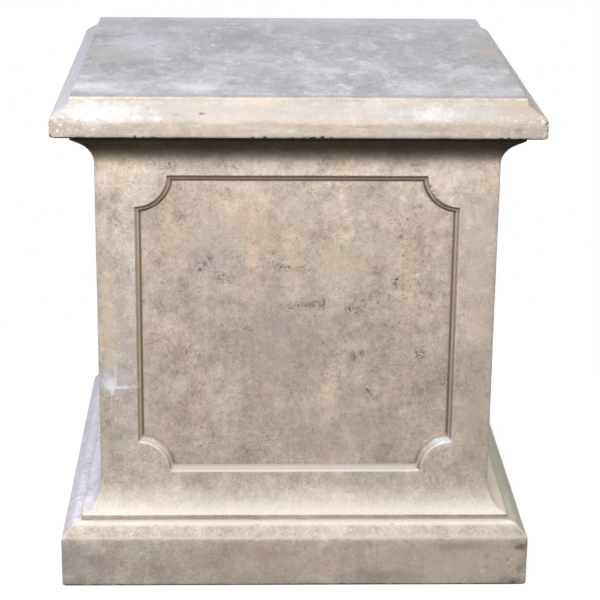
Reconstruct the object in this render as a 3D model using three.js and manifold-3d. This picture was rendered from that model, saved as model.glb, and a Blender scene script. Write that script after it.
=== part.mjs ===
// A square cast-stone column base: a moulded body with a sunk panel on each of its four sides,
// and a separate cap slab bedded on its top. Millimetres, +Z up, standing on z = 0, centred on Z.
import * as THREE from 'three';
import { mergeVertices } from 'three/addons/utils/BufferGeometryUtils.js';
import Module from 'manifold-3d';

const wasm = await Module();
wasm.setup();

// The die is the plain block between the mouldings. Every other width is set out from its face.
const dieWidth = 510;
const dieHeight = 427;

// Base mouldings, from the die down: a hollow flare, an upright fillet, a level ledge,
// a sloping wash and the plinth.
const flareProjection = 25;
const flareHeight = 39.5;
const baseFilletHeight = 7.5;
const ledgeWidth = 10;
const washProjection = 15;
const washHeight = 15.5;
const plinthHeight = 67.5;

// Bed mould under the cap, from the die up: a shallow cove that pulls upright for part of its
// height before it sweeps out, and an upright fillet.
const bedMouldProjection = 28;
const bedMouldHeight = 35;
const bedMouldPull = 20;
const bedFilletHeight = 7.7;

// Cap slab, from its underside up: an upright fascia, a splay with a rounded nose and a fillet
// that leans in a little, as it left its mould.
const bedJoint = 0.3;
const capThickness = 48;
const capOverhang = 22;
const capSplayRun = 22;
const capSplayDrop = 13.3;
const capFilletHeight = 9.5;
const capFilletLean = 1.5;

// Worn arrises: how far back from each edge its rounding starts.
const plinthFootRounding = 2.5;
const plinthShoulderRounding = 3.5;
const ledgeRounding = 2;
const flareRounding = 1;
const bedRounding = 1.5;
const capFootRounding = 4;
const capNoseRounding = 6;
const capTopRounding = 2.5;

// Sunk panel: a frame of this width is left round it, measured from the die's corners at the
// sides, and at the head and foot from the tips of the two hollows.
const panelSideMargin = 49.5;
const panelEndMargin = 50.5;
const scoopRadius = 41;

// The panel's edge goes down in two splayed steps with a narrow level tread between them.
const outerSplayWidth = 2.5;
const outerSplayDepth = 3;
const treadWidth = 2.1;
const innerSplayWidth = 2.9;
const innerSplayDepth = 4;

// Fineness of the facets, and how far a cutter stands out of the face that it cuts.
const hollowSteps = 10;
const roundingSteps = 4;
const scoopSteps = 14;
const cutterProud = 1;

const quarterTurn = Math.PI / 2;

const dieReach = dieWidth / 2;
const flareReach = dieReach + flareProjection;
const ledgeReach = flareReach + ledgeWidth;
const plinthReach = ledgeReach + washProjection;
const bedReach = dieReach + bedMouldProjection;
const capReach = bedReach + capOverhang;

const ledgeLevel = plinthHeight + washHeight;
const flareFoot = ledgeLevel + baseFilletHeight;
const dieFoot = flareFoot + flareHeight;
const dieHead = dieFoot + dieHeight;
const bedMouldHead = dieHead + bedMouldHeight;
const bodyHeight = bedMouldHead + bedFilletHeight;

const panelHalfWidth = dieReach - panelSideMargin;
const panelFoot = flareFoot + panelEndMargin;
const panelHead = bedMouldHead - panelEndMargin;
const panelHalfHeight = (panelHead - panelFoot) / 2;
const panelMiddle = (panelHead + panelFoot) / 2;

// One corner of a profile: its reach from the centre line, its height and its rounding.
function corner(reach, height, rounding = 0) {
  return { at: new THREE.Vector2(reach, height), rounding };
}

// The corners along a curve, in order from its start.
function cornersAlong(curve) {
  return curve.getPoints(hollowSteps).map((point) => corner(point.x, point.y));
}

// The hollow flare: a quarter ellipse, run clockwise from the fillet up to the die.
function flareHollow() {
  return cornersAlong(new THREE.EllipseCurve(
    flareReach, dieFoot, flareProjection, flareHeight, 3 * quarterTurn, 2 * quarterTurn, true));
}

// The cove of the bed mould. It leaves the die upright and is still rising at the fillet.
function bedCove() {
  return cornersAlong(new THREE.QuadraticBezierCurve(
    new THREE.Vector2(dieReach, dieHead),
    new THREE.Vector2(dieReach, dieHead + bedMouldPull),
    new THREE.Vector2(bedReach, bedMouldHead)));
}

// Rounds the corners of a profile that ask for it and gives its points in order. A rounding
// takes up half of the edge beside it at most.
function roundedProfile(corners) {
  return corners.flatMap(({ at, rounding }, index) => {
    if (rounding === 0) {
      return [at];
    }
    const towards = (neighbour) => {
      const step = neighbour.at.clone().sub(at);
      return at.clone().addScaledVector(step, Math.min(rounding / step.length(), 0.5));
    };
    const start = towards(corners[index - 1]);
    const end = towards(corners[index + 1]);
    return new THREE.QuadraticBezierCurve(start, at, end).getPoints(roundingSteps);
  });
}

// A closed mesh as a solid that can be cut. Triangles shrunk to a line on the axis are dropped.
function solidOf(geometry) {
  const bare = geometry.clone();
  bare.deleteAttribute('normal');
  bare.deleteAttribute('uv');
  const merged = mergeVertices(bare);
  const kept = [];
  for (let first = 0; first < merged.index.count; first += 3) {
    const triangle = [0, 1, 2].map((step) => merged.index.getX(first + step));
    if (new Set(triangle).size === 3) {
      kept.push(...triangle);
    }
  }
  const mesh = new wasm.Mesh({
    numProp: 3,
    vertProperties: merged.getAttribute('position').array,
    triVerts: Uint32Array.from(kept),
  });
  return new wasm.Manifold(mesh);
}

// A square block whose four sides carry the same profile, mitred at the corners: a lathe form
// of four segments, with its seams on the diagonals. The profile runs from the axis at the foot
// to the axis at the head.
function mitredBlock(corners) {
  const points = roundedProfile(corners).map(
    (point) => new THREE.Vector2(point.x * Math.SQRT2, point.y));
  const block = new THREE.LatheGeometry(points, 4, quarterTurn / 2);
  block.rotateX(quarterTurn);
  return solidOf(block);
}

// The panel's outline, drawn inwards from the frame's arris by the inset: a rectangle with a
// quarter circle scooped out of each corner, all centred on the corners of the arris.
function panelOutline(inset) {
  const outline = new THREE.Shape();
  const radius = scoopRadius + inset;
  const cutBack = Math.asin(inset / radius);
  const corners = [[1, -1], [1, 1], [-1, 1], [-1, -1]];
  corners.forEach(([side, end], index) => {
    outline.absarc(
      side * panelHalfWidth, end * panelHalfHeight, radius,
      (index + 2) * quarterTurn - cutBack, (index + 1) * quarterTurn + cutBack, true);
  });
  outline.closePath();
  return outline;
}

// A cutter for one splayed step of the panel's edge, facing +Z from the die's face at z = 0.
function splayCutter(inset, startDepth, splayWidth, splayDepth) {
  const cutter = new THREE.ExtrudeGeometry(panelOutline(inset), {
    depth: startDepth + cutterProud,
    curveSegments: scoopSteps / 2,
    bevelThickness: splayDepth,
    bevelSize: splayWidth,
    bevelOffset: -splayWidth,
    bevelSegments: 1,
  });
  cutter.translate(0, 0, -startDepth);
  return cutter;
}

// Turns a cutter to one side of the die: side 0 faces -Y, and the others follow by quarter turns.
function onSide(cutter, side) {
  const placed = cutter.clone();
  placed.rotateX(quarterTurn);
  placed.translate(0, -dieReach, panelMiddle);
  placed.rotateZ(side * quarterTurn);
  return placed;
}

function cutPanels(block) {
  const cutters = [
    splayCutter(0, 0, outerSplayWidth, outerSplayDepth),
    splayCutter(outerSplayWidth + treadWidth, outerSplayDepth, innerSplayWidth, innerSplayDepth),
  ];
  let cut = block;
  for (let side = 0; side < 4; side += 1) {
    for (const cutter of cutters) {
      cut = cut.subtract(solidOf(onSide(cutter, side)));
    }
  }
  return cut;
}

function pedestalBody() {
  return cutPanels(mitredBlock([
    corner(0, 0),
    corner(plinthReach, 0, plinthFootRounding),
    corner(plinthReach, plinthHeight, plinthShoulderRounding),
    corner(ledgeReach, ledgeLevel, ledgeRounding),
    corner(flareReach, ledgeLevel),
    corner(flareReach, flareFoot, flareRounding),
    ...flareHollow().slice(1),
    ...bedCove().slice(0, -1),
    corner(bedReach, bedMouldHead, bedRounding),
    corner(bedReach, bodyHeight),
    corner(0, bodyHeight),
  ]));
}

function capSlab() {
  const filletFoot = capThickness - capFilletHeight;
  const filletReach = capReach - capSplayRun;
  return mitredBlock([
    corner(0, 0),
    corner(capReach, 0, capFootRounding),
    corner(capReach, filletFoot - capSplayDrop, capNoseRounding),
    corner(filletReach, filletFoot),
    corner(filletReach - capFilletLean, capThickness, capTopRounding),
    corner(0, capThickness),
  ]);
}

function castStone(color) {
  return new THREE.MeshStandardMaterial({
    color,
    roughness: 0.92,
    metalness: 0,
    flatShading: true,
  });
}

function pieceOf(name, solid, material) {
  const { vertProperties, triVerts } = solid.getMesh();
  const geometry = new THREE.BufferGeometry();
  geometry.setAttribute('position', new THREE.BufferAttribute(vertProperties, 3));
  geometry.setIndex(new THREE.BufferAttribute(triVerts, 1));
  geometry.computeVertexNormals();
  const piece = new THREE.Mesh(geometry, material);
  piece.name = name;
  return piece;
}

const columnBase = new THREE.Group();

const body = pieceOf('pedestal_body', pedestalBody(), castStone('#bfb0a0'));
columnBase.add(body);

const cap = pieceOf('cap_slab', capSlab(), castStone('#cdc8c5'));
cap.position.z = bodyHeight + bedJoint;
columnBase.add(cap);

export default columnBase;
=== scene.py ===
import math
import random

import bmesh
import bpy
from mathutils import Matrix, Vector, kdtree, noise


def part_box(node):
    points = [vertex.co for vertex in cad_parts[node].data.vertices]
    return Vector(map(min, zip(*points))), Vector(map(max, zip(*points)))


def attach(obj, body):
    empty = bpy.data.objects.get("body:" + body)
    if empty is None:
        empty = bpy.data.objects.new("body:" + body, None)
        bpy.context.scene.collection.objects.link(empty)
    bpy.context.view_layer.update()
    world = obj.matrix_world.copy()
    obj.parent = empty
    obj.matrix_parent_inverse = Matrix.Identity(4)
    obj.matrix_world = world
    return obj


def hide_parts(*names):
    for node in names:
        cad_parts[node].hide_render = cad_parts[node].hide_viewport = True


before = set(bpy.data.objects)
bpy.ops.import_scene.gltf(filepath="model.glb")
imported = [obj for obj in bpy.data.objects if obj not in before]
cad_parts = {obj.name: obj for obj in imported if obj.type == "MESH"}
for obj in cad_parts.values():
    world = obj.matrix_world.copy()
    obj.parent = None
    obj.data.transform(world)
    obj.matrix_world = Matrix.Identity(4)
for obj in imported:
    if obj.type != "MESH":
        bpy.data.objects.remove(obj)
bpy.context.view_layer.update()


# Camera
# It stands where the photographer stood, a little left of the middle and 1.15 m up, and looks
# down on the cap. Place, turns and lens were fitted to the edges in the photograph.
camera_place = Vector((-0.0704, -2.6094, 1.1483))
camera_turn = -0.0317
camera_pitch = math.radians(-18.1)
camera_roll = 0.0108
focal_length = 116.4
film_width = 36

lens = bpy.data.cameras.new("camera")
lens.lens = focal_length
lens.sensor_width = film_width
camera = bpy.data.objects.new("camera", lens)
camera.matrix_world = (
    Matrix.Translation(camera_place)
    @ Matrix.Rotation(camera_turn, 4, "Z")
    @ Matrix.Rotation(math.pi / 2 + camera_pitch, 4, "X")
    @ Matrix.Rotation(camera_roll, 4, "Z")
)
bpy.context.scene.collection.objects.link(camera)
bpy.context.scene.camera = camera


# Cap slab
# A square slab of cast stone with a splayed front edge, bedded on the body. It was cast face
# down in a smooth mould, so its edge is dense and pale, and its top was trowelled flat and has
# weathered to a blue grey.
millimetre = 0.001
merge_distance = 0.001 * millimetre
flat_angle = math.radians(0.2)
mitre_tolerance = 0.01 * millimetre
mitre_rounding = 3.5 * millimetre
level_cosine = 0.999
wide_share = 4 * millimetre
strip_width = 1.3 * millimetre
narrow_width = 2.2 * millimetre
snap_distance = 0.5 * millimetre
coarse_spacing = 17 * millimetre
fine_spacing = 10 * millimetre
strip_spacing = 5 * millimetre
chip_spacing = 1.6 * millimetre
sharp_angle = math.radians(38)


def merged_copy(node_name):
    """The node's loose triangles as one closed mesh with whole flat faces, ready for its notes."""
    work = bmesh.new()
    for note in ("arris", "quirk", "rain_and_light", "chip", "pit", "cluster", "panel"):
        work.verts.layers.float.new(note)
    work.from_mesh(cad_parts[node_name].data)
    bmesh.ops.remove_doubles(work, verts=work.verts, dist=merge_distance)
    bmesh.ops.dissolve_limit(work, angle_limit=flat_angle, verts=work.verts, edges=work.edges)
    return work


def round_mitres(work):
    """Rounds the four upright corners, whose edges lie on the diagonals of the plan."""

    def on_diagonal(vertex):
        return abs(abs(vertex.co.x) - abs(vertex.co.y)) < mitre_tolerance

    mitres = []
    for edge in work.edges:
        first, second = edge.verts
        rises = abs(first.co.z - second.co.z) > mitre_tolerance
        if rises and on_diagonal(first) and on_diagonal(second):
            mitres.append(edge)
    bmesh.ops.bevel(
        work, geom=mitres, offset=mitre_rounding, offset_type="OFFSET", affect="EDGES",
        segments=3, profile=0.5, material=-1, clamp_overlap=True)


def whole_faces(work, levels):
    """Every face but those hidden at the foot or head of a piece, flat on one of these levels."""
    shown = []
    for face in work.faces:
        height = face.calc_center_median().z
        hidden = abs(face.normal.z) > level_cosine and any(
            abs(height - level) < mitre_tolerance for level in levels)
        if not hidden:
            shown.append(face)
    return shown


def edge_strips(work, faces):
    """Insets the wide flat faces a little, so that wear on an arris stays on the arris."""
    wide = [face for face in faces if face.calc_area() / face.calc_perimeter() > wide_share]
    bmesh.ops.inset_region(
        work, faces=wide, use_boundary=True, use_even_offset=True, thickness=strip_width)


def dice(work, levels, box):
    """Cuts the shown faces into coarse squares, by planes along all three axes."""
    for axis in range(3):
        cuts = round((box[1][axis] - box[0][axis]) / coarse_spacing)
        for step in range(1, cuts):
            point = Vector((0, 0, 0))
            point[axis] = box[0][axis] + (box[1][axis] - box[0][axis]) * step / cuts
            direction = Vector((0, 0, 0))
            direction[axis] = 1
            faces = whole_faces(work, levels)
            edges = {edge for face in faces for edge in face.edges}
            corners = {vertex for face in faces for vertex in face.verts}
            bmesh.ops.bisect_plane(
                work, geom=[*corners, *edges, *faces], dist=snap_distance,
                plane_co=point, plane_no=direction)


def halve(work, faces, longest):
    """Halves the edges of these faces that are longer than this, and the faces with them."""
    long_edges = {edge for face in faces for edge in face.edges if edge.calc_length() > longest}
    bmesh.ops.subdivide_edges(
        work, edges=list(long_edges), cuts=1, use_grid_fill=True, use_single_edge=True)


def narrow_faces(faces):
    """The faces beside the arrises, which are narrower than the rest."""
    return [
        face for face in faces
        if min(edge.calc_length() for edge in face.edges) < narrow_width]


def refine(work, levels):
    """Brings the faces down to the finer spacing, and the strips beside the arrises below it."""
    halve(work, whole_faces(work, levels), fine_spacing)
    halve(work, narrow_faces(whole_faces(work, levels)), strip_spacing)


def bend_of(work):
    """How much the surface bends at each vertex: above 0 on an arris, below 0 in a quirk."""
    work.normal_update()
    bends = {}
    for vertex in work.verts:
        turn = 0
        for edge in vertex.link_edges:
            if len(edge.link_faces) == 2:
                turn += edge.calc_face_angle_signed(0)
        bends[vertex] = turn
    return bends


def spread(values, work, rounds):
    """Evens the values out between neighbouring vertices."""
    for _ in range(rounds):
        evened = {}
        for vertex in work.verts:
            around = [values[edge.other_vert(vertex)] for edge in vertex.link_edges]
            evened[vertex] = (values[vertex] + sum(around) / len(around)) / 2
        values = evened
    return values


def wear(work, seed, levels, wave_depth, ripple_depth, arris_depth, sheltered):
    """Moves each vertex inwards: slow waves and ripples all over, and more on the arrises.

    It also notes for the finish where the surface is an arris or a quirk, and how much rain and
    light reach it, which the finish turns into lime and into painted light and shade: 1 where it
    faces up, -1 where it faces down.
    """
    arris = work.verts.layers.float["arris"]
    quirk = work.verts.layers.float["quirk"]
    rain_and_light = work.verts.layers.float["rain_and_light"]
    bends = bend_of(work)
    sharp = {vertex: bend if abs(bend) > sharp_bend else 0 for vertex, bend in bends.items()}
    wide_bends = spread(sharp, work, 1)
    offset = Vector((seed, seed * 2, seed * 3))
    moves = {}
    for vertex in work.verts:
        place = vertex.co
        wave = 0.5 + 0.5 * noise.noise(place * wave_rate + offset)
        ripple = 0.5 + 0.5 * noise.noise(place * ripple_rate + offset)
        nibble = 0.5 + 0.5 * noise.noise(place * nibble_rate + offset)
        sharpness = min(max(bends[vertex] / full_bend, 0), 1)
        vertex[arris] = min(max(wide_bends[vertex] / full_bend * arris_gain, 0), 1)
        vertex[quirk] = min(max(-wide_bends[vertex] / full_bend * arris_gain, 0), 1)
        vertex[rain_and_light] = vertex.normal.z
        if sheltered(place):
            sharpness *= sheltered_share
        depth = wave * wave_depth + ripple * ripple_depth + nibble * sharpness * arris_depth
        move = vertex.normal * -depth
        if any(abs(place.z - level) < mitre_tolerance for level in levels):
            move.z = 0
        moves[vertex] = move
    for vertex, move in moves.items():
        vertex.co += move


class Spots:
    """Places with a radius each, kept so that those near a point are found quickly."""

    def __init__(self, spots):
        self.radii = [radius for _, radius in spots]
        self.places = kdtree.KDTree(len(spots))
        for order, (place, _) in enumerate(spots):
            self.places.insert(place, order)
        self.places.balance()

    def closeness(self, point, margin=1):
        """1 in the middle of a spot, falling to 0 at its radius times the margin, and 0 beyond."""
        widest = max(self.radii) * margin
        closest = 0
        for _, order, distance in self.places.find_range(point, widest):
            closest = max(closest, 1 - distance / (self.radii[order] * margin))
        return closest


def refine_near(work, levels, spots, spacing):
    """Makes the mesh finer round each of the spots."""
    for _ in range(2):
        near = [
            face for face in whole_faces(work, levels)
            if spots.closeness(face.calc_center_median(), near_margin) > 0]
        halve(work, near, spacing)


def break_off(work, chips):
    """Breaks stone off an arris: what stands out past a shallow rough bowl is cut back to it.

    A chip is its place, the way it faced, its radius, its depth and how uneven its bowl is.
    """
    chip_layer = work.verts.layers.float["chip"]
    work.verts.ensure_lookup_table()
    work.verts.index_update()
    places = kdtree.KDTree(len(work.verts))
    for vertex in work.verts:
        places.insert(vertex.co, vertex.index)
    places.balance()
    for place, outward, radius, depth, roughness in chips:
        outward = outward.normalized()
        for _, index, distance in places.find_range(place, radius):
            vertex = work.verts[index]
            uneven = noise.noise(vertex.co * chip_rate) * roughness
            allowed = -depth * (1 - (distance / radius) ** 2) * (1 + uneven)
            excess = (vertex.co - place).dot(outward) - allowed
            if excess > 0:
                vertex.co -= outward * excess
                vertex[chip_layer] = min(1, excess / depth + least_chip_note)


def finished_piece(work, name, material):
    """Makes the worked mesh a piece at the origin, shaded smooth but for its sharp arrises."""
    mesh = bpy.data.meshes.new(name)
    work.to_mesh(mesh)
    work.free()
    mesh.shade_smooth()
    mesh.set_sharp_from_angle(angle=sharp_angle)
    mesh.materials.append(material)
    piece = bpy.data.objects.new(name, mesh)
    bpy.context.scene.collection.objects.link(piece)
    return piece


def linear(hex_colour):
    """An sRGB hex colour as the linear colour that a shader socket holds."""
    channels = []
    for start in (1, 3, 5):
        value = int(hex_colour[start:start + 2], 16) / 255
        channels.append(value / 12.92 if value <= 0.04045 else ((value + 0.055) / 1.055) ** 2.4)
    return (*channels, 1)


def add_node(tree, kind, inputs=None, **settings):
    """Adds a shader node with its settings, and links or sets each of its inputs."""
    made = tree.nodes.new("ShaderNode" + kind)
    for name, value in settings.items():
        setattr(made, name, value)
    for socket, value in (inputs or {}).items():
        if isinstance(value, bpy.types.NodeSocket):
            tree.links.new(value, made.inputs[socket])
        else:
            made.inputs[socket].default_value = value
    return made


wave_rate = 1 / (90 * millimetre)
ripple_rate = 1 / (22 * millimetre)
nibble_rate = 1 / (9 * millimetre)
chip_rate = 1 / (3 * millimetre)
full_bend = 0.8
sharp_bend = 0.6
arris_gain = 2
sheltered_share = 0.15
near_margin = 1.3
least_chip_note = 0.3

cap_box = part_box("cap_slab")
cap_underside = cap_box[0].z
cap_top = cap_box[1].z
cap_reach = cap_box[1].x
nose_level = cap_underside + 25 * millimetre
nose_chip_level = nose_level - 3 * millimetre
foot_chip_range = 290 * millimetre
foot_chips_a_side = 12
cap_hidden = [cap_underside]

cap_work = merged_copy("cap_slab")
round_mitres(cap_work)
edge_strips(cap_work, whole_faces(cap_work, cap_hidden))
dice(cap_work, cap_hidden, cap_box)
refine(cap_work, cap_hidden)

# Stone broken from the cap. The lower front arris has nibbles, each given by its place along the
# front, its radius and its depth in mm. The nose has shallow spalls, and both front corners are
# broken at two heights. The feet of the other sides have small nibbles anywhere along them, whose
# depth is a share of their radius.
nibble_roughness = 0.8
spall_roughness = 1.2
corner_roughness = 0.9
nibble_depth_share = 0.5
down_and_out = Vector((0, -1, -0.8))
up_and_out = Vector((0, -1, 0.55))
cap_chips = []
for along, radius, depth in [
    (-200, 7, 3.6), (-190, 6, 3.0), (-178, 7, 3.4), (-57, 6, 2.9), (-42, 6, 3.2), (-8, 6, 2.8),
    (5, 6, 3.2), (16, 7, 3.9), (28, 7, 3.6), (38, 6, 3.0), (246, 7, 3.4), (257, 6, 3.2),
    (-112, 4, 2.2), (96, 5, 2.5), (160, 5, 2.6), (214, 6, 2.6), (-250, 5, 2.6), (196, 5, 2.4),
]:
    foot = Vector((along * millimetre, -cap_reach, cap_underside))
    cap_chips.append((
        foot, down_and_out, radius * millimetre, depth * millimetre, nibble_roughness))
for along, radius, depth in [
    (-291, 7, 1.6), (-279, 6, 1.3), (-268, 5, 1.1), (222, 6, 1.1), (236, 5, 0.9), (281, 8, 1.7),
    (295, 6, 1.5), (-130, 4, 0.6), (108, 5, 0.7),
]:
    nose = Vector((along * millimetre, -cap_reach, nose_chip_level))
    cap_chips.append((
        nose, up_and_out, radius * millimetre, depth * millimetre, spall_roughness))
for side, height, rise, radius, depth in [
    (-1, 613, 0.4, 13, 3.4), (-1, 603, -0.8, 10, 2.8), (1, 613, 0.5, 13, 3.0),
    (1, 603, -0.6, 8, 2.2),
]:
    mitre = Vector((side * cap_reach, -cap_reach, height * millimetre))
    cap_chips.append((
        mitre, Vector((side, -1, rise)), radius * millimetre, depth * millimetre,
        corner_roughness))
generator = random.Random(41)
for quarter in (1, 2, 3):
    turn = Matrix.Rotation(quarter * math.pi / 2, 3, "Z")
    for _ in range(foot_chips_a_side):
        along = generator.uniform(-foot_chip_range, foot_chip_range)
        foot = Vector((along, -cap_reach, cap_underside))
        radius = generator.uniform(4, 7) * millimetre
        depth = radius * nibble_depth_share
        cap_chips.append((turn @ foot, turn @ down_and_out, radius, depth, nibble_roughness))
chipped = Spots([(place, radius) for place, outward, radius, depth, roughness in cap_chips])
refine_near(cap_work, cap_hidden, chipped, chip_spacing)
wear(
    cap_work, seed=3.1, levels=cap_hidden, wave_depth=0.5 * millimetre,
    ripple_depth=0.15 * millimetre, arris_depth=0.7 * millimetre, sheltered=lambda place: False)
break_off(cap_work, cap_chips)

# The sockets of a Mix node set to colours, then where a stain's blot starts and is full. Its
# distance is counted in reaches and frayed by noise, so both are further out than one reach.
mix_factor, mix_under, mix_over, mix_result = 0, 6, 7, 2
fraying = 3
blot_edge = 2.6
blot_middle = 1.7
full_grain = 0.95


def lay_where(tree, colour, value, start, end, over, strength):
    """Lays a colour over another by a value: none of it at its start, its strength at its end."""
    share = add_node(tree, "MapRange", {
        "Value": value, "From Min": start, "From Max": end, "To Max": strength})
    return add_node(tree, "Mix", {
        mix_factor: share.outputs[0], mix_under: colour, mix_over: linear(over)},
        data_type="RGBA").outputs[mix_result]


def lay_patches(tree, colour, patches, within=1, distortion=0):
    """Lays patches of other colours over a colour, each where its own noise rises far enough.

    A patch is its pattern's vector, its colour, its size in mm, the noise's detail and roughness,
    and the noise values at which it starts and is full.
    """
    for vector, patch_colour, size, detail, roughness, start, end in patches:
        pattern = add_node(tree, "TexNoise", {
            "Vector": vector, "Scale": 1 / (size * millimetre), "Detail": detail,
            "Roughness": roughness, "Distortion": distortion})
        colour = lay_where(
            tree, colour, pattern.outputs["Fac"], start, end, patch_colour, within)
    return colour


def lay_marks(tree, colour, place, ragged, marks):
    """Lays single stains over a colour: each a ragged blot.

    A mark is its colour, its centre and its reach along the three axes in mm, and its strength.
    """
    for mark_colour, centre, reach, strength in marks:
        nearness = add_node(tree, "Mapping", {
            "Vector": place, "Location": [value * millimetre for value in centre],
            "Scale": [value * millimetre for value in reach]}, vector_type="TEXTURE")
        distance = add_node(tree, "VectorMath", {0: nearness.outputs[0]}, operation="LENGTH")
        frayed = add_node(tree, "Math", {
            0: ragged, 1: fraying, 2: distance.outputs["Value"]}, operation="MULTIPLY_ADD")
        colour = lay_where(
            tree, colour, frayed.outputs[0], blot_edge, blot_middle, mark_colour, strength)
    return colour


def toned(tree, colour, place, size, detail, contrast):
    """Darkens and lightens a colour by a fractal that is as strong in its grain as its clouds."""
    pattern = add_node(tree, "TexNoise", {
        "Vector": place, "Scale": 1 / (size * millimetre), "Detail": detail,
        "Roughness": full_grain})
    tone = add_node(tree, "MapRange", {
        "Value": pattern.outputs["Fac"], "To Min": 1 - contrast / 2, "To Max": 1 + contrast / 2},
        clamp=False)
    return add_node(tree, "Mix", {
        mix_factor: 1, mix_under: colour, mix_over: tone.outputs[0]},
        data_type="RGBA", blend_type="MULTIPLY").outputs[mix_result]


# Trowelled cast stone: Portland cement and fine sand, closed up with a steel trowel and aged.
# It gives the eye a smooth matt grey with long streaks, and a denser cream edge off the mould.
trowelled_stone = bpy.data.materials.new("trowelled cast stone")
trowelled_stone.use_nodes = True
tree = trowelled_stone.node_tree
shader = tree.nodes["Principled BSDF"]
shader.inputs["Roughness"].default_value = 0.72
shader.inputs["Specular IOR Level"].default_value = 0.35

# The top: long trowel streaks and clouds, then single stains, paler at the back and dark in a
# narrow band behind the front arris.
back_bloom = (120 * millimetre, 290 * millimetre)
front_band = (262 * millimetre, 272 * millimetre)
place = add_node(tree, "TexCoord").outputs["Object"]
side, back, height = add_node(tree, "SeparateXYZ", {"Vector": place}).outputs
streaks = add_node(tree, "Mapping", {
    "Vector": place, "Rotation": (0, 0, 0.15), "Scale": (1, 0.6, 1)}).outputs["Vector"]
long_streaks = add_node(tree, "Mapping", {
    "Vector": place, "Rotation": (0, 0, -0.05), "Location": (3, 0, 0), "Scale": (0.9, 0.42, 1)}
    ).outputs["Vector"]
ragged = add_node(tree, "TexNoise", {
    "Vector": place, "Scale": 1 / (14 * millimetre), "Detail": 5, "Roughness": 0.75,
}).outputs["Fac"]

top_colour = lay_patches(tree, linear("#a9a8a7"), [
    (long_streaks, "#9b9a9a", 55, 5, 0.7, 0.47, 0.62),
    (long_streaks, "#c3c2c7", 34, 5, 0.7, 0.52, 0.66),
    (place, "#bfbbbc", 85, 5, 0.7, 0.48, 0.66),
    (streaks, "#959495", 22, 4, 0.8, 0.56, 0.70),
    (streaks, "#cfced4", 22, 5, 0.8, 0.57, 0.70),
])
top_colour = toned(tree, top_colour, long_streaks, 60, 5, 1.2)
top_colour = lay_patches(tree, top_colour, [
    (streaks, "#d8d8de", 9, 5, 0.75, 0.58, 0.70),
    (streaks, "#959494", 14, 5, 0.75, 0.58, 0.72),
], within=0.6, distortion=1.0)
top_colour = lay_where(tree, top_colour, back, *back_bloom, "#c9c9cd", 0.6)
top_level = cap_top / millimetre
top_colour = lay_marks(tree, top_colour, place, ragged, [
    ("#aca39a", (-240, 0, top_level), (50, 80, 9), 0.8),
    ("#aaa196", (-190, 235, top_level), (70, 40, 9), 0.7),
    ("#b3a592", (266, 25, top_level), (26, 90, 9), 0.75),
    ("#d6d5de", (-262, -225, top_level), (40, 34, 9), 0.7),
    ("#d3d2da", (-128, -222, top_level), (44, 30, 9), 0.7),
    ("#979694", (-20, -215, top_level), (46, 60, 9), 0.5),
    ("#999895", (205, -215, top_level), (46, 50, 9), 0.5),
    ("#989892", (-60, 110, top_level), (50, 90, 9), 0.4),
    ("#d2d1d9", (-215, 60, top_level), (52, 90, 9), 0.5),
    ("#9c9e9c", (172, 70, top_level), (28, 60, 9), 0.6),
    ("#9a9b9b", (168, -100, top_level), (32, 34, 9), 0.65),
    ("#a2a29e", (60, 140, top_level), (60, 60, 9), 0.45),
    ("#a3a2a0", (-60, -120, top_level), (70, 40, 9), 0.4),
])
front = add_node(tree, "Math", {0: back, 1: -1}, operation="MULTIPLY").outputs[0]
top_colour = lay_where(tree, top_colour, front, *front_band, "#8f8d8b", 0.45)

# The edge: cream, with streaks along it, pale blots and small flaws at known places, painted
# cool light in lavender grey on its left flank, painted shade in drab on its right, and crusts
# and crumbs near the corners.
left_mitre = (1 * millimetre, -4 * millimetre)
right_mitre = (-1 * millimetre, 4 * millimetre)
crust_level = (cap_top - 4 * millimetre, cap_top - 2.2 * millimetre)
crust_reach = (150 * millimetre, 250 * millimetre)
crumb_level = (nose_level + 9 * millimetre, nose_level)
crumb_reach = (200 * millimetre, 290 * millimetre)
edge_colour = lay_patches(tree, linear("#b9ada2"), [
    (place, "#c0ac9c", 50, 4, 0.8, 0.48, 0.70),
    (place, "#c2bcb6", 34, 4, 0.8, 0.50, 0.70),
])
edge_colour = toned(tree, edge_colour, place, 50, 6, 1.2)
dragged = add_node(tree, "Mapping", {"Vector": place, "Scale": (0.2, 0.2, 1)}).outputs[0]
edge_colour = lay_patches(tree, edge_colour, [
    (dragged, "#d3c9bf", 12, 5, 0.75, 0.50, 0.64),
    (dragged, "#a99a8c", 9, 5, 0.75, 0.53, 0.66),
], within=0.6)
rain_and_light = add_node(tree, "Attribute", attribute_name="rain_and_light").outputs["Fac"]
edge_colour = lay_patches(tree, edge_colour, [
    (place, "#cbbfb2", 8, 5, 0.75, 0.54, 0.68),
    (place, "#a39486", 6, 5, 0.75, 0.57, 0.70),
], within=0.6, distortion=0.8)
edge_colour = lay_where(tree, edge_colour, rain_and_light, 0.2, 0.85, "#b8b6b5", 0.5)
edge_colour = lay_marks(tree, edge_colour, place, ragged, [
    ("#dedee0", (-246, -300, 632), (74, 30, 15), 0.75),
    ("#dcdbda", (160, -300, 632), (44, 26, 12), 0.7),
    ("#bfae96", (278, -296, 634), (40, 30, 18), 0.65),
    ("#c6b6a4", (250, -305, 616), (50, 6, 9), 0.5),
    ("#6a5e53", (-118, -300, 630), (5, 20, 1.5), 0.8),
    ("#8a7c70", (-150, -300, 629), (4, 20, 1.2), 0.6),
    ("#8a7c70", (-268, -305, 614), (6, 8, 3), 0.6),
    ("#8b7a69", (268, -305, 611), (10, 8, 5), 0.5),
])
from_middle = add_node(tree, "Math", {0: back}, operation="ABSOLUTE").outputs[0]
past_left = add_node(tree, "Math", {0: side, 1: from_middle}, operation="ADD").outputs[0]
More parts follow.
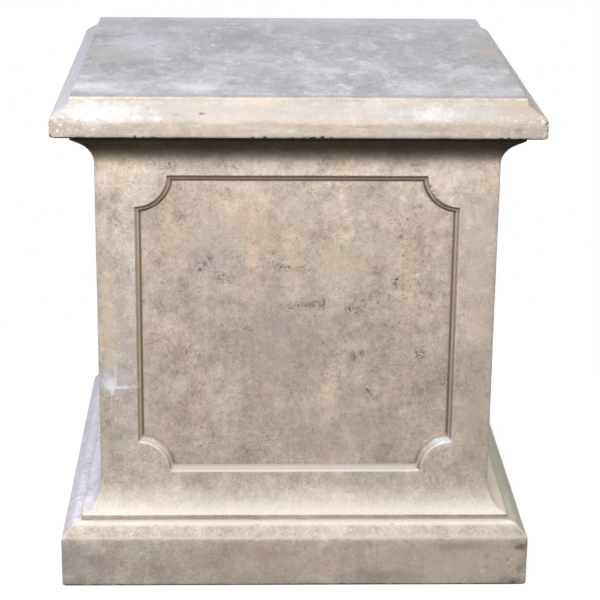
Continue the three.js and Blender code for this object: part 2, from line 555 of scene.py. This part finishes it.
# Painted cool light: the left flank is laid lavender grey.
edge_colour = lay_where(tree, edge_colour, past_left, *left_mitre, "#c9c6cb", 0.6)
past_right = add_node(tree, "Math", {0: side, 1: from_middle}, operation="SUBTRACT").outputs[0]
# Painted shade: the right flank is laid drab.
edge_colour = lay_where(tree, edge_colour, past_right, *right_mitre, "#8f8e84", 0.55)
arris = add_node(tree, "Attribute", attribute_name="arris").outputs["Fac"]
edge_colour = lay_where(tree, edge_colour, arris, 0.4, 1, "#ddd9d6", 0.35)
to_corner = add_node(tree, "Math", {0: side}, operation="ABSOLUTE")
near_corner = add_node(tree, "MapRange", {
    "Value": to_corner.outputs[0], "From Min": crust_reach[0], "From Max": crust_reach[1],
    "To Min": 0.2, "To Max": 0.9})
crusted = add_node(tree, "MapRange", {
    "Value": height, "From Min": crust_level[0], "From Max": crust_level[1],
    "To Max": near_corner.outputs[0]})
edge_colour = lay_patches(tree, edge_colour, [
    (place, "#e6ded2", 14, 4, 0.7, 0.46, 0.56),
], within=crusted.outputs[0])
at_corner = add_node(tree, "MapRange", {
    "Value": to_corner.outputs[0], "From Min": crumb_reach[0], "From Max": crumb_reach[1],
    "To Max": 0.75})
spalled = add_node(tree, "MapRange", {
    "Value": height, "From Min": crumb_level[0], "From Max": crumb_level[1],
    "To Max": at_corner.outputs[0]})

# Both together, with broken stone, dirt and painted shade in the chips under the foot, painted
# shade where the cap faces down, and specks over all of it.
upper_arris = (cap_top - 1.8 * millimetre, cap_top - 1.0 * millimetre)
foot_dirt_and_shade_level = (cap_underside + 9 * millimetre, cap_underside + 5 * millimetre)
on_top = add_node(tree, "MapRange", {
    "Value": height, "From Min": upper_arris[0], "From Max": upper_arris[1]})
colour = add_node(tree, "Mix", {
    mix_factor: on_top.outputs[0], mix_under: edge_colour, mix_over: top_colour},
    data_type="RGBA").outputs[mix_result]
chip = add_node(tree, "Attribute", attribute_name="chip").outputs["Fac"]
low_down = add_node(tree, "MapRange", {
    "Value": height, "From Min": foot_dirt_and_shade_level[0], "From Max": foot_dirt_and_shade_level[1], "To Max": 0.9})
colour = lay_where(tree, colour, chip, 0.1, 0.6, "#b3a697", 0.6)
# Dirt and painted shade: chips under the foot are laid near black.
colour = lay_where(tree, colour, chip, 0.2, 0.7, "#2e2620", low_down.outputs[0])
colour = lay_patches(tree, colour, [
    (place, "#efe9e2", 6.5, 4, 0.7, 0.54, 0.66),
    (place, "#a09585", 4.6, 3, 0.7, 0.58, 0.70),
], within=spalled.outputs[0], distortion=0.6)
# Painted shade: where the cap faces down it is laid dark brown.
colour = lay_where(tree, colour, rain_and_light, -0.35, -0.8, "#4a4038", 0.9)
colour = lay_patches(tree, colour, [
    (place, "#8d8377", 1.9, 2, 0.6, 0.71, 0.78),
    (place, "#f0ebe6", 2.6, 2, 0.6, 0.70, 0.80),
])
tree.links.new(colour, shader.inputs["Base Color"])
grain = add_node(tree, "TexNoise", {
    "Vector": place, "Scale": 1 / (2.5 * millimetre), "Detail": 3, "Roughness": 0.7})
bump = add_node(tree, "Bump", {
    "Height": grain.outputs["Fac"], "Distance": 0.5 * millimetre, "Strength": 0.5})
tree.links.new(bump.outputs["Normal"], shader.inputs["Normal"])

cap = finished_piece(cap_work, "cap", trowelled_stone)
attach(cap, "root")
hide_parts("cap_slab")


# Pedestal body
# Plinth, base mouldings, die and bed mould, cast as one block of sandy cement in a sectional
# mould. Each side of the die has a sunk panel with scooped corners and a small double step.
body_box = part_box("pedestal_body")
body_foot = body_box[0].z
body_head = body_box[1].z
body_hidden = [body_foot, body_head]
plinth_reach = body_box[1].x
die_reach = 255 * millimetre
panel_half_width = 205.5 * millimetre
panel_foot = 141 * millimetre
panel_head = 541.5 * millimetre
panel_border = 3 * millimetre
ledge_level = 83 * millimetre
fillet_level = 86.5 * millimetre
shoulder_level = 68 * millimetre
scoop_radius = 41 * millimetre
moulding_width = 7.5 * millimetre
recess_depth = 7 * millimetre
cluster_spacing = 4.4 * millimetre


def across(place):
    """How far a place is from the middle of the side that it lies on."""
    return min(abs(place.x), abs(place.y))


def on_panel(place, border):
    """Whether a place is within this border of the upright rectangle that holds the panel."""
    if max(abs(place.x), abs(place.y)) > die_reach + panel_border:
        return False
    beside = across(place) < panel_half_width + border
    return beside and panel_foot - border < place.z < panel_head + border


def into_panel(place):
    """How far inside the panel's scooped outline a place is, and below 0 outside it."""
    to_side = panel_half_width - across(place)
    to_end = min(place.z - panel_foot, panel_head - place.z)
    return min(to_side, to_end, math.hypot(to_side, to_end) - scoop_radius)


def on_panel_edge(place):
    """Whether a place is on or near the panel's moulding, its scooped corners included."""
    return on_panel(place, panel_border) and -panel_border < into_panel(place) < (
        moulding_width + panel_border)


body_work = merged_copy("pedestal_body")
round_mitres(body_work)
edge_strips(body_work, whole_faces(body_work, body_hidden))
dice(body_work, body_hidden, body_box)
refine(body_work, body_hidden)

# Clusters of air holes: those that stand out in the photograph on the front, and as many again
# anywhere on the panel of each other side. Each is its place along the side, its height and its
# radius, in mm. All are set on the panel's field, so those on the frame have a larger radius.
front_clusters = [
    (-119, 424, 8), (-112, 431, 5), (-124, 419, 5), (-96, 407, 6), (-87, 400, 5), (-27, 420, 5),
    (-19, 418, 4), (-9, 419, 4), (2, 418, 4), (10, 419, 4), (17, 417, 4), (-8, 366, 4), (2, 369, 5),
    (10, 371, 5), (19, 372, 6), (28, 374, 7), (36, 375, 6), (34, 368, 5), (100, 416, 6),
    (104, 411, 4), (127, 400, 6), (135, 394, 4), (68, 365, 5), (78, 363, 4), (161, 301, 7),
    (76, 298, 5), (85, 302, 4), (93, 252, 5), (-148, 486, 6), (-83, 376, 4), (-168, 503, 5),
    (-60, 335, 4), (134, 463, 4), (-175, 372, 4), (-162, 555, 10), (-94, 556, 9), (-76, 553, 8),
    (32, 556, 9), (150, 554, 9), (229, 262, 9), (233, 284, 8), (230, 300, 9), (226, 510, 9),
    (-230, 482, 8),
]
generator = random.Random(17)
cluster_spots = []
for quarter in range(4):
    turn = Matrix.Rotation(quarter * math.pi / 2, 3, "Z")
    for along, height, radius in front_clusters:
        if quarter:
            along = generator.triangular(-190, 190)
            height = generator.triangular(160, 530, 400)
        spot = Vector((along * millimetre, recess_depth - die_reach, height * millimetre))
        cluster_spots.append((turn @ spot, radius * millimetre))
clusters = Spots(cluster_spots)

# Chips on the body, each with its place, the way it faced, its radius and its depth in mm: one in
# the moulding's top right hollow and a few more on the front. Then small ones anywhere along the
# arrises of the plinth, the ledge, the fillet and the die on every side.
large_chip_roughness = 1.0
small_chip_roughness = 0.9
arris_chip_depth_share = 0.25
corner_chip_depth_share = 0.22
chips_an_arris = 4
chips_a_corner = 5
body_chips = []
for along, reach, height, outward, radius, depth in [
    (168, 255, 525, (-0.5, -1, -0.3), 8, 2.4), (174, 255, 515, (-0.5, -1, -0.3), 6, 1.8),
    (165, 255, 141, (0, -1, 0.5), 4, 1.6), (243, 286, 101, (0, -1, 0.3), 5, 0.9),
    (-276, 282, 90, (0, -1, 0.4), 7, 1.4), (-120, 282, 91, (0, -1, 0.4), 4, 0.9),
    (56, 282, 91, (0, -1, 0.4), 5, 0.8), (-255, 255, 300, (-1, -1, 0), 7, 1.5),
    (-255, 255, 470, (-1, -1, 0), 6, 1.4), (255, 255, 420, (1, -1, 0), 8, 1.6),
    (255, 255, 210, (1, -1, 0), 6, 1.4), (305, 305, 66, (1, -1, 0.6), 9, 2.6),
    (-305, 305, 66, (-1, -1, 0.6), 8, 2.0), (-305, 305, 2, (-1, -1, -0.6), 8, 2.4),
    (305, 305, 2, (1, -1, -0.6), 8, 2.2),
]:
    place = Vector((along * millimetre, -reach * millimetre, height * millimetre))
    body_chips.append((
        place, Vector(outward), radius * millimetre, depth * millimetre, large_chip_roughness))
chip_generator = random.Random(29)
for quarter in range(4):
    turn = Matrix.Rotation(quarter * math.pi / 2, 3, "Z")
    for reach, height, outward in [
        (304, 67, (0, -1, 0.7)), (304, 1, (0, -1, -0.7)), (290, 82, (0, -1, 0.8)),
        (280, 90, (0, -1, 0.5)),
    ]:
        for _ in range(chips_an_arris):
            along = chip_generator.uniform(-0.95, 0.95) * reach
            radius = chip_generator.uniform(2.5, 5) * millimetre
            place = Vector((along, -reach, height)) * millimetre
            depth = radius * arris_chip_depth_share
            body_chips.append((
                turn @ place, turn @ Vector(outward), radius, depth, small_chip_roughness))
    for _ in range(chips_a_corner):
        place = Vector((255, -255, chip_generator.uniform(140, 550))) * millimetre
        radius = chip_generator.uniform(3, 6) * millimetre
        depth = radius * corner_chip_depth_share
        body_chips.append((
            turn @ place, turn @ Vector((1, -1, 0)), radius, depth, small_chip_roughness))
refine_near(body_work, body_hidden, clusters, cluster_spacing)
chipped = Spots([(place, radius) for place, outward, radius, depth, roughness in body_chips])
refine_near(body_work, body_hidden, chipped, chip_spacing)
wear(
    body_work, seed=7.7, levels=body_hidden, wave_depth=0.6 * millimetre,
    ripple_depth=0.25 * millimetre, arris_depth=0.9 * millimetre,
    sheltered=lambda place: on_panel(place, panel_border))
break_off(body_work, body_chips)

# Notes for the finish: how far into the panel's moulding a place is, 0 at the arris and 1 at the
# field, and how near the middle of a cluster. The note of rain and light is evened out on the
# moulding, because its slopes are narrower than the mesh.
past_moulding = 1.1
moulding_rain_and_light = 1.5
halo_margin = 1.6
rain_and_light_layer = body_work.verts.layers.float["rain_and_light"]
panel_layer = body_work.verts.layers.float["panel"]
cluster_layer = body_work.verts.layers.float["cluster"]
evened_rain_and_light = spread({vertex: vertex[rain_and_light_layer] for vertex in body_work.verts}, body_work, 2)
for vertex in body_work.verts:
    if on_panel(vertex.co, 0):
        inside = into_panel(vertex.co) / moulding_width
        vertex[panel_layer] = min(max(inside, 0), 2)
        if 0 < inside < past_moulding:
            vertex[rain_and_light_layer] = evened_rain_and_light[vertex] * moulding_rain_and_light
    vertex[cluster_layer] = clusters.closeness(vertex.co, halo_margin)

# The air holes. Each is a bowl with a wall and a floor, and both steps are shares of its radius:
# how far it goes inwards and how far down.
pit_wall = (0.2, 0.8)
pit_floor = (0.3, 0.3)
rim_unevenness = 0.25
flat_bend = 0.05
least_edge = 1.7 * millimetre
pit_crowd_size = 40 * millimetre
lone_pit_share = 0.03
cluster_pit_share = 0.8
least_crowding = 0.15


def sink_pits(work, pits, generator):
    """Sinks an air hole at each vertex given: an eight-sided bowl with a narrower floor."""
    pit_layer = work.verts.layers.float["pit"]
    for radius, vertices in pits.items():
        for vertex in vertices:
            slide = Vector([generator.uniform(-1, 1) for _ in range(3)]) * radius
            slide -= vertex.normal * slide.dot(vertex.normal)
            vertex.co += slide
        rims = bmesh.ops.bevel(
            work, geom=vertices, offset=radius, offset_type="OFFSET", affect="VERTICES",
            segments=2, profile=0.5, material=-1, clamp_overlap=True)["faces"]
        for face in rims:
            for vertex in face.verts:
                slide = Vector([generator.uniform(-1, 1) for _ in range(3)]) * radius
                slide *= rim_unevenness
                vertex.co += slide - face.normal * slide.dot(face.normal)
        for inwards, downwards in (pit_wall, pit_floor):
            bmesh.ops.inset_individual(
                work, faces=rims, thickness=radius * inwards, depth=-radius * downwards,
                use_even_offset=False)
        for face in rims:
            for vertex in face.verts:
                vertex[pit_layer] = 1


def scattered(vertices, generator, radii, chance_at):
    """Picks vertices for pits by their chance, and sorts them by the radius of their pit."""
    picked = {radius: [] for radius in radii}
    for vertex in vertices:
        radius = generator.choice(radii)
        if generator.random() < chance_at(vertex.co):
            picked[radius].append(vertex)
    return picked


def flat_vertices(work, levels, panel_edge):
    """The vertices inside the flat faces of the mesh, well away from every arris and quirk."""
    flat = []
    for vertex in work.verts:
        edges = vertex.link_edges
        if len(edges) != 4 or panel_edge(vertex.co):
            continue
        if any(abs(vertex.co.z - level) < mitre_tolerance for level in levels):
            continue
        bend = max(abs(edge.calc_face_angle_signed(0)) for edge in edges)
        if bend < flat_bend and min(edge.calc_length() for edge in edges) > least_edge:
            flat.append(vertex)
    return flat


def pit_chance(place):
    """How likely an air hole is at a place: high within a cluster and low between them."""
    crowding = noise.noise(place / pit_crowd_size)
    lone = (crowding - least_crowding) * lone_pit_share
    return max(lone, clusters.closeness(place) * cluster_pit_share)


candidates = flat_vertices(body_work, body_hidden, on_panel_edge)
pit_radii = [radius * millimetre for radius in (0.7, 1.0, 1.4)]
sink_pits(body_work, scattered(candidates, generator, pit_radii, pit_chance), generator)

# Weathered cast stone: cement with buff sand, its skin open with small air holes and clouded
# by lime, rain and algae. It gives the eye a dry matt tan with pink, green and mauve greys, and
# some of its light and shade is painted into its colour.
weathered_stone = bpy.data.materials.new("weathered cast stone")
weathered_stone.use_nodes = True
tree = weathered_stone.node_tree
shader = tree.nodes["Principled BSDF"]
shader.inputs["Roughness"].default_value = 0.92
shader.inputs["Specular IOR Level"].default_value = 0.25

# The stone itself: wide clouds, streaks that rain has drawn down it, and crowds of fine flecks.
# It is paler in a band over the panel and towards the foot.
head_band = (520 * millimetre, 540 * millimetre)
foot_band = (320 * millimetre, 140 * millimetre)
place = add_node(tree, "TexCoord").outputs["Object"]
flank, out, height = add_node(tree, "SeparateXYZ", {"Vector": place}).outputs
panel = add_node(tree, "Attribute", attribute_name="panel").outputs["Fac"]
on_field = add_node(tree, "MapRange", {
    "Value": panel, "From Min": 1, "From Max": 1.12}).outputs[0]
ragged = add_node(tree, "TexNoise", {
    "Vector": place, "Scale": 1 / (14 * millimetre), "Detail": 5, "Roughness": 0.75,
}).outputs["Fac"]
shifted = [
    add_node(tree, "Mapping", {"Vector": place, "Location": (order, 0, 0)}).outputs[0]
    for order in range(6)
]
colour = lay_patches(tree, linear("#cdc2b6"), [
    (shifted[0], "#d3c1b2", 110, 5, 0.7, 0.44, 0.62),
    (shifted[1], "#c6bfb1", 85, 5, 0.7, 0.50, 0.66),
    (shifted[2], "#c3b7b3", 95, 5, 0.7, 0.50, 0.66),
    (shifted[3], "#ded2c5", 30, 5, 0.8, 0.54, 0.72),
    (shifted[5], "#b5a799", 24, 5, 0.8, 0.52, 0.70),
])
hanging = add_node(tree, "Mapping", {"Vector": place, "Scale": (1, 1, 0.22)}).outputs[0]
hanging_lime = add_node(tree, "Mapping", {
    "Vector": place, "Location": (7, 0, 0), "Scale": (1, 1, 0.45)}).outputs[0]
colour = lay_patches(tree, colour, [
    (hanging, "#bcaea9", 24, 4, 0.6, 0.50, 0.68),
    (hanging, "#e0cab4", 36, 4, 0.6, 0.44, 0.30),
    (hanging_lime, "#d8d1c9", 30, 6, 0.8, 0.53, 0.66),
], within=0.65)
colour = lay_where(tree, colour, height, *head_band, "#ead6c0", 0.28)
colour = lay_where(tree, colour, height, *foot_band, "#e2d6c8", 0.3)
colour = toned(tree, colour, place, 80, 6.5, 2.2)
crowds = add_node(tree, "TexNoise", {
    "Vector": shifted[5], "Scale": 1 / (38 * millimetre), "Detail": 3, "Roughness": 0.7})
most_crowded = add_node(tree, "MapRange", {
    "Value": on_field, "To Min": 0.45, "To Max": 0.74})
crowded = add_node(tree, "MapRange", {
    "Value": crowds.outputs["Fac"], "From Min": 0.44, "From Max": 0.62, "To Min": 0.22,
    "To Max": most_crowded.outputs[0]})
colour = lay_patches(tree, colour, [
    (shifted[4], "#85735f", 5.5, 4, 0.75, 0.56, 0.65),
    (shifted[2], "#897868", 3.6, 3, 0.75, 0.57, 0.66),
    (shifted[1], "#e6dacf", 5.0, 4, 0.75, 0.56, 0.66),
], within=crowded.outputs[0], distortion=0.8)
cluster = add_node(tree, "Attribute", attribute_name="cluster").outputs["Fac"]
colour = lay_where(tree, colour, cluster, 0.1, 0.9, "#a09c9a", 0.35)
in_cluster = add_node(tree, "MapRange", {
    "Value": cluster, "From Max": 0.6, "To Max": 0.85})
colour = lay_patches(tree, colour, [
    (shifted[3], "#665d57", 6.0, 4, 0.75, 0.50, 0.58),
    (shifted[0], "#ddd5cc", 5.0, 4, 0.75, 0.56, 0.64),
], within=in_cluster.outputs[0], distortion=1.0)

# The panel: its moulding is olive towards the left and purple brown towards the right, with
# painted shade on its inner splay where it faces sideways or down, and its field is a little
# darker than the frame.
tint_width = 100 * millimetre
outer_splay = (0, 0.12)
inner_splay = (0.6, 0.75)
to_left = add_node(tree, "MapRange", {
    "Value": flank, "From Min": tint_width, "From Max": -tint_width, "To Max": 0.75})
to_right = add_node(tree, "MapRange", {
    "Value": flank, "From Min": -tint_width, "From Max": tint_width, "To Max": 0.75})
moulding_colour = lay_where(tree, colour, panel, *outer_splay, "#a08f75", to_left.outputs[0])
moulding_colour = lay_where(
    tree, moulding_colour, panel, *outer_splay, "#938380", to_right.outputs[0])
rain_and_light = add_node(tree, "Attribute", attribute_name="rain_and_light").outputs["Fac"]
# Painted shade: the inner splay is laid dark where it faces sideways or down.
sheltered = add_node(tree, "MapRange", {
    "Value": rain_and_light, "From Min": 0.05, "From Max": 0.4, "To Min": 0.75, "To Max": 0.15})
moulding_colour = lay_where(
    tree, moulding_colour, panel, *inner_splay, "#5f4f41", sheltered.outputs[0])
field_colour = add_node(tree, "Mix", {
    mix_factor: 1, mix_under: colour, mix_over: linear("#f5f2ee")},
    data_type="RGBA", blend_type="MULTIPLY").outputs[mix_result]
colour = add_node(tree, "Mix", {
    mix_factor: on_field, mix_under: moulding_colour, mix_over: field_colour},
    data_type="RGBA").outputs[mix_result]
quirk = add_node(tree, "Attribute", attribute_name="quirk").outputs["Fac"]
# Dirt and painted shade: the quirks are laid darker.
colour = lay_where(tree, colour, quirk, 0.3, 1, "#7d6a58", 0.45)

# Weathering and painted light: lime where the rain lies, painted cool light in lavender grey on
# the left flank of the base, painted shade in drab and green on the right, dirt and painted shade
# on the fillet, a pale shoulder on the plinth, and dirt and painted shade where the stone faces
# down and under the cap.
wash_level = (ledge_level - 2 * millimetre, ledge_level - 4 * millimetre)
mitre_wander = 60 * millimetre
left_flank = (36 * millimetre, 22 * millimetre)
right_flank = (-2 * millimetre, 6 * millimetre)
green_level = (ledge_level + 8 * millimetre, ledge_level)
fillet_band = (4 * millimetre, 2.5 * millimetre)
shoulder_band = (3 * millimetre, 0.5 * millimetre)
shelter_and_shade_level = (body_head - 42 * millimetre, body_head - 12 * millimetre)
sloping = (0.1, 0.4)
on_wash = add_node(tree, "MapRange", {
    "Value": height, "From Min": wash_level[0], "From Max": wash_level[1], "To Max": 0.58})
washed = add_node(tree, "Math", {0: rain_and_light, 1: on_wash.outputs[0]}, operation="SUBTRACT")
colour = lay_where(tree, colour, washed.outputs[0], 0.1, 1.0, "#f2ebe3", 0.87)
from_middle = add_node(tree, "Math", {0: out}, operation="ABSOLUTE").outputs[0]
past_mitre = add_node(tree, "Math", {0: flank, 1: from_middle}, operation="ADD").outputs[0]
wavering = add_node(tree, "Math", {
    0: ragged, 1: mitre_wander, 2: past_mitre}, operation="MULTIPLY_ADD").outputs[0]
on_left = add_node(tree, "MapRange", {
    "Value": wavering, "From Min": left_flank[0], "From Max": left_flank[1], "To Max": 0.7})
# Painted cool light: the left flank's up-facing slopes are laid lavender grey, with paler and
# darker patches.
colour = lay_where(tree, colour, rain_and_light, *sloping, "#d6d2d8", on_left.outputs[0])
left_light_share = add_node(tree, "Math", {0: rain_and_light, 1: on_left.outputs[0]}, operation="MULTIPLY")
colour = lay_patches(tree, colour, [
    (shifted[2], "#f1eff2", 15, 5, 0.8, 0.50, 0.60),
    (shifted[1], "#b1acb6", 20, 5, 0.8, 0.52, 0.62),
], within=left_light_share.outputs[0])
off_right = add_node(tree, "Math", {0: flank, 1: from_middle}, operation="SUBTRACT").outputs[0]
on_right = add_node(tree, "MapRange", {
    "Value": off_right, "From Min": right_flank[0], "From Max": right_flank[1], "To Max": 0.7})
# Painted shade: the right flank's up-facing slopes are laid drab, and green from the ledge down.
colour = lay_where(tree, colour, rain_and_light, *sloping, "#bdb5a3", on_right.outputs[0])
low_right_shade = add_node(tree, "MapRange", {
    "Value": height, "From Min": green_level[0], "From Max": green_level[1],
    "To Max": on_right.outputs[0]})
colour = lay_where(tree, colour, rain_and_light, *sloping, "#9ca094", low_right_shade.outputs[0])
# Dirt and painted shade: the fillet is laid darker; the plinth's shoulder is laid paler.
for level, band, band_colour, strength in [
    (fillet_level, fillet_band, "#97805f", 0.35), (shoulder_level, shoulder_band, "#f0e7dd", 0.5),
]:
    above = add_node(tree, "Math", {0: height, 1: level}, operation="SUBTRACT")
    apart = add_node(tree, "Math", {0: above.outputs[0]}, operation="ABSOLUTE")
    colour = lay_where(tree, colour, apart.outputs[0], *band, band_colour, strength)
# Dirt and painted shade: where the stone faces down it is laid darker.
colour = lay_where(tree, colour, rain_and_light, -0.1, -0.5, "#6f6152", 0.4)
# Dirt and painted shade: a band under the cap's overhang is laid dark.
colour = lay_where(tree, colour, height, *shelter_and_shade_level, "#6b5c55", 0.7)
colour = lay_patches(tree, colour, [
    (shifted[4], "#6d6257", 2.4, 3, 0.9, 0.62, 0.72),
    (shifted[5], "#efe6db", 2.8, 3, 0.8, 0.64, 0.76),
])

# Single stains that show in the photograph, on the panel's field, the frame and the plinth. The
# lavender ones at the lower left are a scuff, with three pale scratches across it.
die_face = -die_reach / millimetre
field_face = (recess_depth - die_reach) / millimetre
plinth_face = -plinth_reach / millimetre
colour = lay_marks(tree, colour, place, ragged, [
    ("#b0b0af", (3, field_face, 493), (30, 10, 18), 0.35),
    ("#a6a89e", (108, field_face, 449), (22, 10, 24), 0.4),
    ("#b9b7b5", (-104, field_face, 442), (36, 10, 34), 0.3),
    ("#c9b89e", (236, die_face, 250), (26, 12, 150), 0.45),
    ("#c9b9a4", (234, die_face, 440), (28, 12, 120), 0.5),
    ("#e0cab3", (-242, die_face, 352), (11, 12, 90), 0.5),
    ("#b8adab", (-221, die_face, 335), (10, 12, 100), 0.4),
    ("#a79e9b", (-25, field_face, 325), (70, 10, 90), 0.45),
    ("#aca69b", (60, field_face, 200), (110, 10, 40), 0.35),
    ("#d2bfa9", (-60, field_face, 470), (60, 10, 40), 0.4),
    ("#d0bda8", (60, field_face, 420), (80, 10, 36), 0.4),
    ("#cfc8cd", (-238, die_face, 266), (32, 12, 28), 0.75),
    ("#e9e6ef", (-243, die_face, 266), (14, 12, 12), 0.95),
    ("#f3f1f6", (-226, die_face, 259), (24, 12, 3), 1),
    ("#f5f2f4", (-238, die_face, 254), (4, 12, 16), 0.95),
    ("#ece7ea", (-233, die_face, 272), (3, 12, 14), 0.8),
    ("#f2f2f7", (190, die_face, 182), (20, 12, 6), 0.9),
    ("#e0cdbc", (215, plinth_face, 36), (130, 8, 60), 0.7),
    ("#d6bea9", (-20, plinth_face, 30), (180, 8, 50), 0.45),
    ("#6a5a60", (295, plinth_face, 55), (10, 8, 7), 0.7),
    ("#ddd6cf", (246, plinth_face, 34), (24, 8, 12), 0.5),
    ("#a08f86", (215, plinth_face, 56), (34, 8, 8), 0.45),
    ("#9a8775", (120, plinth_face, 14), (50, 8, 10), 0.35),
    ("#a58f7c", (-40, plinth_face, 46), (40, 8, 10), 0.3),
    ("#7a6450", (297, plinth_face, 25), (8, 8, 14), 0.6),
    ("#5f5248", (288, plinth_face, 6), (26, 8, 7), 0.6),
    ("#e9e2dc", (247, plinth_face, 20), (4, 5, 4), 0.8),
    ("#e6dfdc", (-297, plinth_face, 14), (12, 8, 4), 0.7),
    ("#b9b0b6", (-290, plinth_face, 40), (28, 8, 34), 0.5),
    ("#8f8087", (-250, plinth_face, 36), (30, 8, 16), 0.3),
])
arris = add_node(tree, "Attribute", attribute_name="arris").outputs["Fac"]
colour = lay_where(tree, colour, arris, 0.4, 1, "#e6dccf", 0.25)
chip = add_node(tree, "Attribute", attribute_name="chip").outputs["Fac"]
colour = lay_where(tree, colour, chip, 0.1, 0.8, "#d3c6b8", 0.45)
pit = add_node(tree, "Attribute", attribute_name="pit").outputs["Fac"]
# Painted shade: the air holes are laid dark inside.
colour = lay_where(tree, colour, pit, 0, 1, "#5c544e", 0.75)
tree.links.new(colour, shader.inputs["Base Color"])
grain = add_node(tree, "TexNoise", {
    "Vector": place, "Scale": 1 / (3 * millimetre), "Detail": 4, "Roughness": 0.8})
bump = add_node(tree, "Bump", {
    "Height": grain.outputs["Fac"], "Distance": 0.8 * millimetre, "Strength": 0.6})
tree.links.new(bump.outputs["Normal"], shader.inputs["Normal"])

body = finished_piece(body_work, "body", weathered_stone)
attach(body, "root")
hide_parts("pedestal_body")


# Floor
# A pale studio floor. It fades to the white surroundings a step away, and throws little light
# back up, as the dark ground under the real one did.
floor_half_width = 6
fade_range = (0.42, 0.9)
near_glow = 0.84
floor_work = bmesh.new()
bmesh.ops.create_grid(floor_work, x_segments=1, y_segments=1, size=floor_half_width)
floor_mesh = bpy.data.meshes.new("floor")
floor_work.to_mesh(floor_mesh)
floor_work.free()
floor = bpy.data.objects.new("floor", floor_mesh)
bpy.context.scene.collection.objects.link(floor)

pale_floor = bpy.data.materials.new("pale floor")
pale_floor.use_nodes = True
tree = pale_floor.node_tree
tree.nodes.remove(tree.nodes["Principled BSDF"])
place = add_node(tree, "TexCoord").outputs["Object"]
from_middle = add_node(tree, "VectorMath", {0: place}, operation="LENGTH")
fade = add_node(tree, "MapRange", {
    "Value": from_middle.outputs["Value"], "From Min": fade_range[0],
    "From Max": fade_range[1]}, interpolation_type="SMOOTHSTEP")
lit = add_node(tree, "BsdfDiffuse", {"Color": linear("#7a7a7a")})
glow = add_node(tree, "Emission", {"Color": (1, 1, 1, 1), "Strength": near_glow})
near_floor = add_node(tree, "AddShader", {0: lit.outputs[0], 1: glow.outputs[0]})
white = add_node(tree, "Emission", {"Color": (1, 1, 1, 1), "Strength": 1})
seen_floor = add_node(tree, "MixShader", {
    0: fade.outputs[0], 1: near_floor.outputs[0], 2: white.outputs[0]})
dull = add_node(tree, "BsdfDiffuse", {"Color": linear("#3a3836")})
seen = add_node(tree, "LightPath").outputs["Is Camera Ray"]
either = add_node(tree, "MixShader", {
    0: seen, 1: dull.outputs[0], 2: seen_floor.outputs[0]})
tree.links.new(either.outputs[0], tree.nodes["Material Output"].inputs["Surface"])
floor_mesh.materials.append(pale_floor)


# Studio light
# One large softbox in front, above the camera's line of sight, a cool fill from the left and a
# warmer one from the right, two behind for the far sides, and a little light from all round.
all_round_strength = 0.08


def softbox(name, place, aimed_at, width, height, power, colour):
    """A rectangular light that the camera doesn't see, in metres and watts."""
    light = bpy.data.lights.new(name, "AREA")
    light.shape = "RECTANGLE"
    light.size = width
    light.size_y = height
    light.energy = power
    light.color = linear(colour)[:3]
    holder = bpy.data.objects.new(name, light)
    holder.location = place
    holder.rotation_euler = (Vector(aimed_at) - Vector(place)).to_track_quat("-Z", "Y").to_euler()
    holder.visible_camera = False
    bpy.context.scene.collection.objects.link(holder)


softbox("key", (-0.15, -1.30, 1.39), (0, -0.25, 0.5), 1.3, 0.46, 30, "#ffffff")
softbox("left fill", (-1.7, 0.35, 1.2), (0, 0, 0.3), 1.0, 1.2, 22, "#e6ecff")
softbox("right fill", (1.8, 0.4, 1.0), (0, 0, 0.3), 1.0, 1.2, 17, "#fbf8f4")
softbox("back fill", (0.3, 2.0, 1.5), (0, 0, 0.4), 1.6, 1.2, 20, "#eef2ff")
softbox("low back fill", (0.4, 2.3, 0.55), (0, 0, 0.35), 1.6, 0.7, 22, "#f6f6ff")

surroundings = bpy.data.worlds.new("surroundings")
surroundings.use_nodes = True
tree = surroundings.node_tree
background = tree.nodes["Background"]
background.inputs["Color"].default_value = (1, 1, 1, 1)
seen = add_node(tree, "LightPath").outputs["Is Camera Ray"]
glow = add_node(tree, "MapRange", {"Value": seen, "To Min": all_round_strength})
tree.links.new(glow.outputs[0], background.inputs["Strength"])
bpy.context.scene.world = surroundings
bpy.context.scene.view_settings.view_transform = "Standard"
